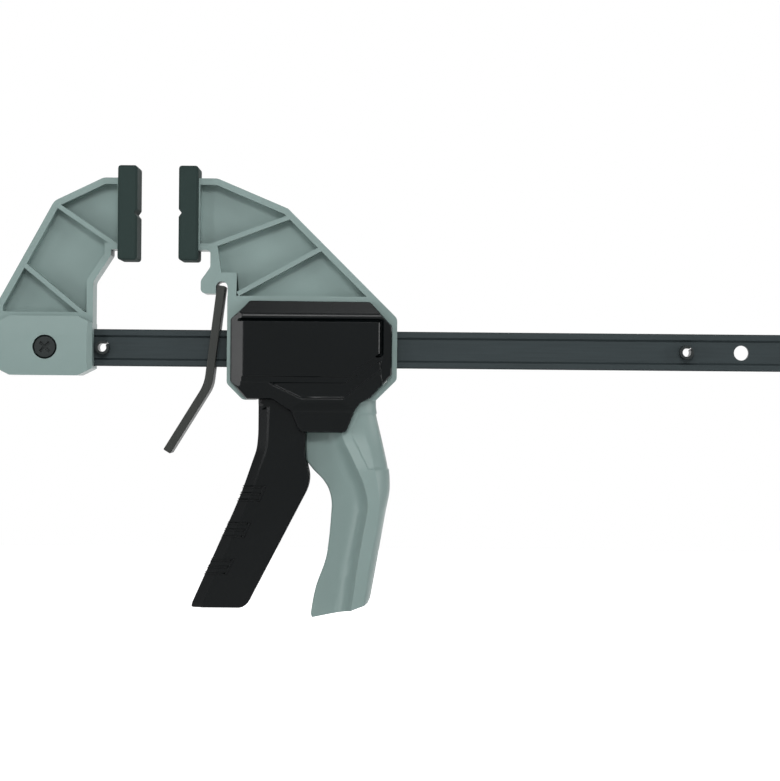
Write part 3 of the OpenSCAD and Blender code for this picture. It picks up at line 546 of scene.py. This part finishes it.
# %% Outlines and rings
def rounded(outline, radii, steps):
    """An outline with its corners rounded, radii in the outline's own order"""
    made = []
    for i, corner in enumerate(outline):
        here = Vector(corner)
        a = (Vector(outline[i - 1]) - here).normalized()
        b = (Vector(outline[(i + 1) % len(outline)]) - here).normalized()
        opening = a.angle(b) / 2
        centre = here + (a + b).normalized() * radii[i] / math.sin(opening)
        start = here + a * radii[i] / math.tan(opening) - centre
        end = here + b * radii[i] / math.tan(opening) - centre
        turn = start.angle_signed(end)
        for k in range(steps + 1):
            angle = -turn * k / steps
            made.append((centre.x + start.x * math.cos(angle) - start.y * math.sin(angle),
                         centre.y + start.x * math.sin(angle) + start.y * math.cos(angle)))
    return made


def inside_by(point, outline):
    """How far a point lies inside a closed outline, less than zero outside it"""
    x, z = point
    nearest, inside = 1e9, False
    for i, (x1, z1) in enumerate(outline):
        x0, z0 = outline[i - 1]
        dx, dz = x1 - x0, z1 - z0
        t = max(0.0, min(1.0, ((x - x0) * dx + (z - z0) * dz) / (dx * dx + dz * dz)))
        nearest = min(nearest, math.hypot(x - x0 - t * dx, z - z0 - t * dz))
        if (z0 > z) != (z1 > z) and x < x0 + (z - z0) / dz * dx:
            inside = not inside
    return nearest if inside else -nearest


def ring_faces(rings, first):
    """Faces of a closed skin through rings of equal count"""
    m = len(rings[0])
    faces = [(first + i * m + k, first + i * m + (k + 1) % m,
              first + (i + 1) * m + (k + 1) % m, first + (i + 1) * m + k)
             for i in range(len(rings) - 1) for k in range(m)]
    last = first + (len(rings) - 1) * m
    return faces + [tuple(range(first + m - 1, first - 1, -1)), tuple(range(last, last + m))]


print("helpers:", rounded.__name__, inside_by.__name__, ring_faces.__name__)

# %% Skins that ride on a body
def moulding(name, shells, body, slot, finish):
    """One object from closed shells of rings, each ring of (x, y, z) in millimetres"""
    points, faces = [], []
    for rings in shells:
        faces += ring_faces(rings, len(points))
        points += [Vector(p) * MM for ring in rings for p in ring]
    mesh = bpy.data.meshes.new(name)
    mesh.from_pydata(points, [], faces)
    return skinned(name, mesh, body, slot, finish)


def skinned(name, mesh, body, slot, finish):
    """Puts a mesh in the scene with its faces outwards, a finish and a body to ride on"""
    work = bmesh.new()
    work.from_mesh(mesh)
    bmesh.ops.recalc_face_normals(work, faces=work.faces)
    for face in work.faces:
        face.smooth = True
    work.to_mesh(mesh)
    work.free()
    mesh.materials.clear()
    mesh.materials.append(finish)
    piece = bpy.data.objects.new(name, mesh)
    scene.collection.objects.link(piece)
    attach(piece, body)
    print(name, "has", len(mesh.polygons), "faces")
    return piece


def crisp_where_turned(piece, turn):
    """Keeps an edge crisp where its faces turn by more than an angle"""
    work = bmesh.new()
    work.from_mesh(piece.data)
    for edge in work.edges:
        edge.smooth = edge.calc_face_angle(0.0) < turn
    work.to_mesh(piece.data)
    work.free()
    name = "flat faces stay flat"
    level = piece.modifiers.get(name) or piece.modifiers.new(name, "WEIGHTED_NORMAL")
    level.keep_sharp = True


print("helpers:", moulding.__name__, skinned.__name__, crisp_where_turned.__name__)

# %% [markdown]
# ## Trigger
# The trigger is a black channel moulding: a front wall with slanted corners that
# fits the fingers, two cheeks and an open back. Short bars wrap its corners in three
# groups so that oily gloves don't slip. It could be one box model with loops cut in.
# Here its section is drawn once and run down a hundred levels, each placed by the
# measured lines of its front and rear, so the long edges stay fair.

# %% Trigger: lines down it, from its pivot
TRIGGER_FRONT = [
    (-145.0, -50.4), (-141.8, -49.8), (-110.8, -35.8), (-89.9, -26.9), (-80.0, -23.3),
    (-69.4, -19.7), (-65.8, -18.6), (-61.4, -18.0), (-55.6, -17.7), (-43.9, -17.7),
    (-25.0, -17.7)]
TRIGGER_REAR = [
    (-145.0, -26.0), (-142.5, -22.4), (-139.6, -20.8), (-131.6, -16.8), (-87.0, 6.2), (-82.6, 7.7),
    (-78.2, 8.0), (-73.1, 7.0), (-67.2, 6.0), (-45.3, 6.0), (-38.0, 4.0), (-25.0, 0.0)]
TRIGGER_TOP, TRIGGER_FOOT = -25.0, -144.2
COLLAR_Z = -43.4
HALF, CHEEK, WALL, BEVEL, SLANT, COLLAR_BEVEL = 10.0, 2.8, 3.4, 5.0, 3.5, 1.2
# The narrow flat between the slanted corner and the cheek, which catches the light
RIDGE_IN, RIDGE_OUT, RIDGE_FALL = 0.6, 0.5, 0.36
COLLAR_STEP = 1.2
LEVELS = 104
RIDGE_TURN = math.radians(14)


def trigger_section(z, hollow=True, inset=0.0):
    """Ring at a level: front wall, slanted corners and cheeks"""
    front = lookup(TRIGGER_FRONT, z) + inset
    rear = lookup(TRIGGER_REAR, z) - inset
    half = HALF - inset
    open_up = ease((COLLAR_Z + COLLAR_STEP / 2 - z) / COLLAR_STEP)
    bevel = COLLAR_BEVEL + (BEVEL - COLLAR_BEVEL) * open_up
    slant = COLLAR_BEVEL + (SLANT - COLLAR_BEVEL) * open_up
    side = [(front, 0.0), (front, half - slant - 0.5), (front + 0.15, half - slant - 0.1),
            (front + bevel - RIDGE_IN, half - RIDGE_FALL), (front + bevel + RIDGE_OUT, half),
            (rear - 0.6, half), (rear, half - 0.6)]
    back = front + WALL if hollow else rear - WALL
    side += [(rear, HALF - CHEEK), (back, HALF - CHEEK), (back, 0.0)]
    other = [(x, -y) for x, y in reversed(side[1:-1])]
    return [(PIVOT_X + x, y, PIVOT_Z + z) for x, y in side + other]


channel = [trigger_section(TRIGGER_TOP + (TRIGGER_FOOT - TRIGGER_TOP) * i / LEVELS)
           for i in range(LEVELS + 1)]
FOOT_STEPS = ((1.6, 0.3), (0.4, 0.05), (-0.1, 0.25), (-0.4, 0.8))
foot = [trigger_section(TRIGGER_FOOT + up, False, inset) for up, inset in FOOT_STEPS]
print("trigger levels:", len(channel))

# %% Trigger: finger bars
BAR_GROUPS = (-87.7, -105.8, -124.2)
BAR_PITCH, BAR_HEIGHT, BAR_RISE, BAR_ROOT = 3.25, 1.5, 0.5, 0.5
BAR_END, TIE_HALF, CORNER_SHARE = 6.2, 0.6, 0.4
# How far a bar's skin stands out and draws in, from its root to its crown
BAR_STEPS = ((-BAR_ROOT, 0.0), (BAR_RISE * 0.6, 0.0), (BAR_RISE, 0.3))


def finger_bar(z):
    """A bar round both slanted corners, as rings from its root to its crown"""
    rings = []
    for out, trim in BAR_STEPS:
        loop = []
        for dz, run in ((-1, 1), (1, -1)):
            level = z + dz * (BAR_HEIGHT / 2 - trim)
            f = lookup(TRIGGER_FRONT, level)
            end, corner = f + BEVEL + BAR_END - trim, f + BEVEL - CORNER_SHARE * out
            path = [(end, HALF + out), (corner, HALF + out),
                    (f - out, HALF - SLANT), (f - out, SLANT - HALF),
                    (corner, -HALF - out), (end, -HALF - out)]
            loop += [(PIVOT_X + x, y, PIVOT_Z + level) for x, y in path[::run]]
        rings.append(loop)
    return rings


def bar_tie(z, side):
    """The upright that ties the ends of a group's three bars, at one side"""
    rings = []
    for out, trim in BAR_STEPS:
        high = z + BAR_PITCH + BAR_HEIGHT / 2 - trim
        low = z - BAR_PITCH - BAR_HEIGHT / 2 + trim
        loop = []
        for level, run in ((high, 1), (low, -1)):
            middle = PIVOT_X + lookup(TRIGGER_FRONT, level) + BEVEL + BAR_END - TIE_HALF
            reach = run * TIE_HALF * (1 - trim)
            loop += [(x, side * (HALF + out), PIVOT_Z + level)
                     for x in (middle - reach, middle + reach)]
        rings.append(loop)
    return rings


bars = [finger_bar(z + k * BAR_PITCH) for z in BAR_GROUPS for k in (-1, 0, 1)]
ties = [bar_tie(z, side) for z in BAR_GROUPS for side in (-1, 1)]
print("finger bars:", len(bars), "ties:", len(ties))

# %% Trigger: fork and skin
FORK = [(-16.0, -46.0), (-15.0, -43.0), (-5.5, 0.0), (0.0, 4.6),
        (4.6, 2.0), (6.3, -18.7), (1.2, -28.0), (1.2, -34.0)]
FORK_IN, FORK_OUT = 7.4, 9.8
forks = [[[(PIVOT_X + x, y, PIVOT_Z + z) for x, z in FORK] for y in ends]
         for ends in ((-FORK_OUT, -FORK_IN), (FORK_IN, FORK_OUT))]
trigger = moulding("trigger_moulding", [channel, foot] + bars + ties + forks,
                   "trigger", "black_plastic", black_plastic)
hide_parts("trigger")
soften(trigger, 0.25)
crisp_where_turned(trigger, RIDGE_TURN)

# %% [markdown]
# ## Handle
# The handle is the lower end of the grey housing. A thin web faces the trigger, a
# hollow sweeps from it out to the palm side, and the palm side has a recessed panel
# near its top. A single block with rounded edges would lose that light and dark
# sweep. The handle is cut from the solid below the housing and run again as a skin
# of many levels, with the hollow drawn in its section.

# %% Handle: lines down it, from the moving pad's face
HANDLE_DROP = 133.6
WEB_LINE = [(0.16, 63.9), (0.405, 63.9), (0.445, 67.2), (0.484, 72.3), (0.52, 75.3), (0.565, 76.8),
            (0.61, 76.7), (0.711, 75.6), (0.785, 74.0), (0.887, 69.3), (0.985, 66.9), (1.0, 67.4)]
FLANGE_LINE = [(0.16, 81.3), (0.317, 81.6), (0.40, 86.5), (0.487, 92.0), (0.54, 94.2),
               (0.58, 94.9), (0.62, 94.3), (0.781, 90.5), (0.972, 86.7)]
CREASE_LINE = [(0.16, 90.0), (0.235, 90.8), (0.335, 94.6), (0.435, 98.4), (0.50, 100.3),
               (0.56, 101.0), (0.65, 100.2), (0.743, 97.8), (0.952, 93.6)]
REAR_LINE = [(0.16, 98.5), (0.226, 98.8), (0.34, 102.3), (0.44, 105.2), (0.50, 105.8),
             (0.54, 105.5), (0.60, 103.9), (0.92, 96.6), (0.942, 95.5)]
HALF_WIDTH = [(0.16, 9.6), (0.33, 9.9), (0.46, 13.3), (0.80, 13.5), (0.97, 12.4)]
FULL_HALF, WEB_HALF, WEB_ROUND = 13.5, 2.5, 0.7
# The hollow's sweep from the web to the flange: X from the flange, share of its rise
SWEEP = [(-9.5, 0.0), (-7.0, 0.05), (-4.8, 0.17), (-3.0, 0.36), (-1.6, 0.60), (-0.6, 0.83)]
PANEL = [(89.2, -31.6), (85.6, -41.2), (94.8, -59.6), (120.0, -59.6), (120.0, -31.6)]
PANEL_DEPTH, PANEL_SLOPE = 0.55, 0.7
# The palm's round: share of the way from the crease to the rear, and its fall
PALM = ((0.0, 0.35), (0.16, 0.9), (0.4, 2.1), (0.62, 3.5), (0.8, 5.2), (0.93, 7.2), (1.0, 9.5))
HANDLE_LEVELS, FLAT_STEPS = 150, 15
print("handle reaches", round(REAR_LINE[-1][0] * HANDLE_DROP, 1), "mm below the bar's middle")

# %% Handle: its section down the levels
def on_line(table, t):
    """Place on a line down the handle, t from 0 at its top to 1 at its foot"""
    share = table[0][0] + (table[-1][0] - table[0][0]) * t
    return lookup(table, share), -share * HANDLE_DROP


def handle_section(t):
    """Ring of the handle at t, from the web round the flange to the palm"""
    web_x, web_z = on_line(WEB_LINE, t)
    flange_x, flange_z = on_line(FLANGE_LINE, t)
    crease_x, crease_z = on_line(CREASE_LINE, t)
    rear_x, rear_z = on_line(REAR_LINE, t)
    half = lookup(HALF_WIDTH, -flange_z / HANDLE_DROP)
    side = [(web_x, 0.0, web_z), (web_x, WEB_HALF - WEB_ROUND, web_z),
            (web_x + WEB_ROUND, WEB_HALF, web_z)]
    for dx, rise in SWEEP:
        s = (flange_x + dx - web_x) / (flange_x - web_x)
        side.append((flange_x + dx, WEB_HALF + rise * (half - WEB_HALF),
                     web_z + s * (flange_z - web_z)))
    side += [(flange_x, half - 0.4, flange_z), (flange_x + 0.5, half, flange_z)]
    for k in range(1, FLAT_STEPS):
        s = k / FLAT_STEPS
        side.append((flange_x + s * (crease_x - flange_x), half,
                     flange_z + s * (crease_z - flange_z)))
    for s, fall in PALM:
        side.append((crease_x + s * (rear_x - crease_x), max(half - fall * half / FULL_HALF, 0.5),
                     crease_z + s * (rear_z - crease_z)))
    side.append((rear_x, 0.0, rear_z))
    ring = []
    for x, y, z in side:
        sunk = PANEL_DEPTH * ease(inside_by((x, z), PANEL) / PANEL_SLOPE) if x > flange_x else 0.0
        sunk_x = sunk if y < 0.6 * half and x > crease_x else 0.0
        ring.append((x - sunk_x, max(y - sunk, 0.0), z))
    return ([(PAD_FACE_X + x, y, z) for x, y, z in ring]
            + [(PAD_FACE_X + x, -y, z) for x, y, z in reversed(ring[1:-1])])


handle_rings = [handle_section(i / HANDLE_LEVELS) for i in range(HANDLE_LEVELS + 1)]
handle = moulding("handle_moulding", [handle_rings], "carriage", "grey_plastic", grey_plastic)
soften(handle, 0.3)

# %% Housing and arm without the plain handle
HOUSING_FLOOR_Z, CUT_PAST = -25.4, 0.02
housing_mesh = nodes["jaw_body"].data.copy()
cut = bmesh.new()
cut.from_mesh(housing_mesh)
bmesh.ops.bisect_plane(
    cut, geom=cut.verts[:] + cut.edges[:] + cut.faces[:],
    plane_co=(0, 0, (HOUSING_FLOOR_Z - CUT_PAST) * MM), plane_no=(0, 0, -1), clear_outer=True)
cut.to_mesh(housing_mesh)
cut.free()
housing = skinned("housing_moulding", housing_mesh, "carriage", "grey_plastic", grey_plastic)
for piece in (housing, handle):
    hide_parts("jaw_body")
soften(housing, EDGE_OF_OTHERS)

# %% [markdown]
# ## Covers
# Each side of the housing is closed by a black cover, bevelled like a shield: a
# sloping band on top, a rounded band in front, a raised panel with a groove round
# two of its sides, a pocket under it, and a tongue that guards the root of the
# trigger. Stacked plates would give hard steps, and a sculpt would give none. The
# relief is written as a height over the cover's outline, so every slope is a
# measured number, and the outline is cut into a fine lattice that takes it.

# %% Covers: outlines and heights, from the moving pad's face
COVER_OUTLINE = [
    (35.7, 23.8), (95.3, 23.6), (106.4, 11.8), (106.4, -12.6), (95.6, -24.3), (91.0, -26.6),
    (88.2, -30.2), (83.8, -41.5), (61.4, -41.5), (59.6, -39.0), (56.6, -31.4), (47.2, -25.2),
    (34.4, -25.2), (26.2, -16.2), (26.2, 14.6)]
COVER_ROUND = [2, 2, 2, 2, 3, 4, 3, 3, 3.5, 4, 3, 3, 2, 2, 2]
ROUND_STEPS = 6
PANEL_FACE = [(0.0, 13.8), (0.0, -14.1), (83.8, -13.9), (100.7, -2.1), (100.7, 13.8)]
LEDGE_FACE = [(0.0, -16.6), (47.8, -17.1), (82.8, -17.1), (101.2, -5.4),
              (101.2, 40.0), (0.0, 40.0)]
POCKET_FACE = [(0.0, -16.6), (44.9, -17.1), (61.2, -24.8), (82.5, -24.8), (101.2, -10.2),
               (101.2, 40.0), (0.0, 40.0)]
SEAT, TONGUE_SEAT, TONGUE_Z = 10.0, 10.5, -25.3
CROWN, LEDGE, POCKET, RIDGE, TONGUE = 16.8, 16.0, 15.15, 15.9, 14.4
SHELL, SHELL_SLOPE = 2.2, 0.6
LATTICE = 0.5
GROOVE_START, GROOVE_DEPTH, GROOVE_REACH, GROOVE_SIDE = (30, -4), 1.6, 1.4, 0.8
# Bands that slope: where each starts, its height there and its fall for each mm
TOP_EDGE, TOP_LOW, TOP_FALL = 23.8, 12.7, 0.5
FRONT_EDGE, FRONT_LOW, FRONT_FALL = 26.9, 13.0, 0.62
PANEL_TURN, PANEL_FALL = 98.9, 0.62
SHOULDER_TURN, SHOULDER, SHOULDER_FALL, FRAME_TOP = 101.5, 16.15, 0.12, 16.5
RIDGE_REACH, SKIRT_FALL = 7.5, 0.19
RIM_LOW, RIM_RISE = 12.4, 4.2
# The rim is softest along its lower front
CRISP_RIM, SOFT_RIM, SOFT_BELOW, SOFT_UP_TO, SOFT_FADE = 1.3, 5.5, -14, 40, 12
TONGUE_START, TONGUE_ROUND = -24, 1.1
print("cover outline:", len(COVER_OUTLINE), "corners")

# %% Covers: the height of the relief
def quarter(d, width):
    """Rises from 0 to 1 over a width, as a quarter round"""
    return math.sqrt(1 - (1 - max(0.0, min(1.0, d / width))) ** 2)


def blended_min(a, b, width):
    """The lesser of two heights, rounded over where they cross"""
    near = max(width - abs(a - b), 0.0) / width
    return min(a, b) - near * near * width / 4


def cover_height(u, v, edge):
    """Height of the relief over the middle of the clamp, edge being how far inside"""
    p = (u, v)
    pocket_by, ledge_by, panel_by = (
        inside_by(p, face) for face in (POCKET_FACE, LEDGE_FACE, PANEL_FACE))
    low = RIDGE - SKIRT_FALL * min(max(-pocket_by, 0.0), RIDGE_REACH)
    low += (POCKET - low) * ease(pocket_by / 0.9)
    low += (LEDGE - low) * ease((ledge_by + 0.2) / 0.8)
    top_band = TOP_LOW + TOP_FALL * (TOP_EDGE - v)
    shoulder = SHOULDER - SHOULDER_FALL * max(u - SHOULDER_TURN, 0.0)
    frame_by = min(-panel_by - 0.5, max(v - 14.0, u - 100.9))
    frame = blended_min(top_band, min(shoulder, FRAME_TOP), 0.6)
    low += (frame - low) * ease(frame_by / 0.5)
    if u > GROOVE_START[0] and v > GROOVE_START[1]:
        low -= GROOVE_DEPTH * max(min((panel_by + GROOVE_REACH) / GROOVE_SIDE, 1.0), 0.0)
    panel = CROWN - PANEL_FALL * max(u - PANEL_TURN, 0.0)
    height = low + (panel - low) * ease((panel_by + 0.1) / 0.5)
    front = blended_min(FRONT_LOW + FRONT_FALL * (u - FRONT_EDGE), CROWN, 0.35)
    softness = CRISP_RIM
    if v < SOFT_BELOW:
        softness = SOFT_RIM - (SOFT_RIM - CRISP_RIM) * ease((u - SOFT_UP_TO) / SOFT_FADE)
    rim = RIM_LOW + RIM_RISE * quarter(edge, softness)
    if v < TONGUE_START:
        tongue = TONGUE - TONGUE_ROUND + TONGUE_ROUND * quarter(edge, 1.2)
        rim = min(rim, tongue + 1.5 * ease((v + 31.5) / 7.0))
    return min(height, top_band, front, rim)


print("panel height in the middle:", round(cover_height(70, 0, 20), 2))

# %% Covers: the lattice that takes the relief
def lattice(outline, pitch):
    """An outline cut into a fine lattice: its places, faces and rim edges"""
    work = bmesh.new()
    work.faces.new([work.verts.new((x, 0, z)) for x, z in outline])
    for axis in (0, 1):
        low = min(p[axis] for p in outline)
        high = max(p[axis] for p in outline)
        for k in range(1, math.ceil((high - low) / pitch)):
            at, normal = Vector((0, 0, 0)), Vector((0, 0, 0))
            at[2 * axis] = low + k * pitch
            normal[2 * axis] = 1
            bmesh.ops.bisect_plane(work, geom=work.verts[:] + work.edges[:] + work.faces[:],
                                   plane_co=at, plane_no=normal)
    work.verts.index_update()
    places = [(vert.co.x, vert.co.z) for vert in work.verts]
    faces = [tuple(vert.index for vert in face.verts) for face in work.faces]
    rim = [tuple(vert.index for vert in edge.verts) for edge in work.edges if edge.is_boundary]
    work.free()
    return places, faces, rim


outline = rounded(COVER_OUTLINE, COVER_ROUND, ROUND_STEPS)
places, cells, rim = lattice(outline, LATTICE)
inside = [max(inside_by(p, outline), 0.0) for p in places]
face_y = [cover_height(u, v, edge) for (u, v), edge in zip(places, inside)]
seat_y = [SEAT if v > TONGUE_Z else TONGUE_SEAT for u, v in places]
hollow_y = [seat + (max(seat, y - SHELL) - seat) * ease((edge - SHELL) / SHELL_SLOPE)
            for y, seat, edge in zip(face_y, seat_y, inside)]
print("cover lattice:", len(cells), "cells, crown at", round(max(face_y), 2))

# %% Covers: shells with their posts
POSTS = [(34.6, 14.0), (92.1, 16.2), (92.1, -16.2), (34.6, -14.0)]
PIN_PLACE = (PIVOT_X - PAD_FACE_X, PIVOT_Z)
POST_R, POST_FOOT, POST_TOP = 3.4, 6.0, 12.6
BOSS_R, BOSS_FOOT, BOSS_TOP = 5.0, 10.4, 14.2
SEAT_R, SEAT_FOOT, SEAT_TOP = 4.9, 10.2, 13.6
WELL_R, WELL_SEAT = 3.5, 11.2
POST_SIDES = 32
SMOOTH_TURN = math.radians(38)
EVEN_TURN = math.radians(0.3)


def round_post(place, radius, y0, y1):
    """A round post across the clamp, as two rings"""
    turns = [math.tau * k / POST_SIDES for k in range(POST_SIDES)]
    circle = [(PAD_FACE_X + place[0] + radius * math.cos(turn),
               place[1] + radius * math.sin(turn)) for turn in turns]
    return [[(x, y, z) for x, z in circle] for y in (y0, y1)]


def cover_mesh(side, posts):
    """A cover's mesh, side -1 towards the camera, with posts given as rings"""
    n = len(places)
    points = ([(PAD_FACE_X + u, side * y, v) for (u, v), y in zip(places, face_y)]
              + [(PAD_FACE_X + u, side * y, v) for (u, v), y in zip(places, hollow_y)])
    faces = (cells + [tuple(k + n for k in reversed(cell)) for cell in cells]
             + [(a, b, b + n, a + n) for a, b in rim])
    for rings in posts:
        faces = faces + ring_faces(rings, len(points))
        points = points + [p for ring in rings for p in ring]
    mesh = bpy.data.meshes.new("cover")
    mesh.from_pydata([Vector(p) * MM for p in points], [], faces)
    work = bmesh.new()
    work.from_mesh(mesh)
    bmesh.ops.dissolve_limit(work, angle_limit=EVEN_TURN, verts=work.verts, edges=work.edges)
    work.to_mesh(mesh)
    work.free()
    return mesh


front_posts = [round_post(p, POST_R, -POST_TOP, POST_FOOT) for p in POSTS]
front_posts.append(round_post(PIN_PLACE, BOSS_R, -BOSS_TOP, -BOSS_FOOT))
front_cover = skinned("cover_front_moulding", cover_mesh(-1, front_posts),
                      "carriage", "black_plastic", black_plastic)
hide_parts("cover_front")
crisp_where_turned(front_cover, SMOOTH_TURN)

# %% Covers: the back one, with wells for its screws
back_posts = [round_post(p, SEAT_R, SEAT_FOOT, SEAT_TOP) for p in POSTS]
back_posts += [round_post(p, POST_R, POST_FOOT, POST_TOP) for p in POSTS]
back_posts.append(round_post(PIN_PLACE, BOSS_R, BOSS_FOOT, BOSS_TOP))
drill_mesh = bpy.data.meshes.new("drill")
drill_rings = [round_post(p, WELL_R, WELL_SEAT, CROWN + 2) for p in POSTS]
drill_mesh.from_pydata(
    [Vector(p) * MM for rings in drill_rings for ring in rings for p in ring], [],
    [face for i, rings in enumerate(drill_rings)
     for face in ring_faces(rings, 2 * POST_SIDES * i)])
drill = bpy.data.objects.new("drill", drill_mesh)
blank = bpy.data.objects.new("blank", cover_mesh(1, back_posts))
for tool in (drill, blank):
    scene.collection.objects.link(tool)
    work = bmesh.new()
    work.from_mesh(tool.data)
    bmesh.ops.recalc_face_normals(work, faces=work.faces)
    work.to_mesh(tool.data)
    work.free()
sinking = blank.modifiers.new("screw wells", "BOOLEAN")
sinking.operation = "DIFFERENCE"
sinking.use_self = True
sinking.object = drill
bpy.context.view_layer.update()
graph = bpy.context.evaluated_depsgraph_get()
drilled = bpy.data.meshes.new_from_object(blank.evaluated_get(graph))
for tool in (blank, drill):
    bpy.data.objects.remove(tool)
back_cover = skinned("cover_back_moulding", drilled, "carriage", "black_plastic", black_plastic)
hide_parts("cover_back")
crisp_where_turned(back_cover, SMOOTH_TURN)

# %% [markdown]
# ## Springs
# The drive spring closes as the plates push back on it, and the brake spring as
# the lever is pressed. Rigid coils would let the plates and the lever run through
# them. Bones could drive each turn, and a coil that is pressed simply shortens along
# its axis. Here each coil is copied with its finish, rides on the carriage and
# stands in for its solid, which is hidden.


def closing_spring(name):
    """A copy of a coil with its finish, standing in for its hidden solid"""
    coil = skinned(name + "_coil", nodes[name].data.copy(),
                   "carriage", "spring_steel", spring_steel)
    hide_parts(name)
    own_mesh(coil)


closing_spring("drive_spring")
closing_spring("brake_spring")
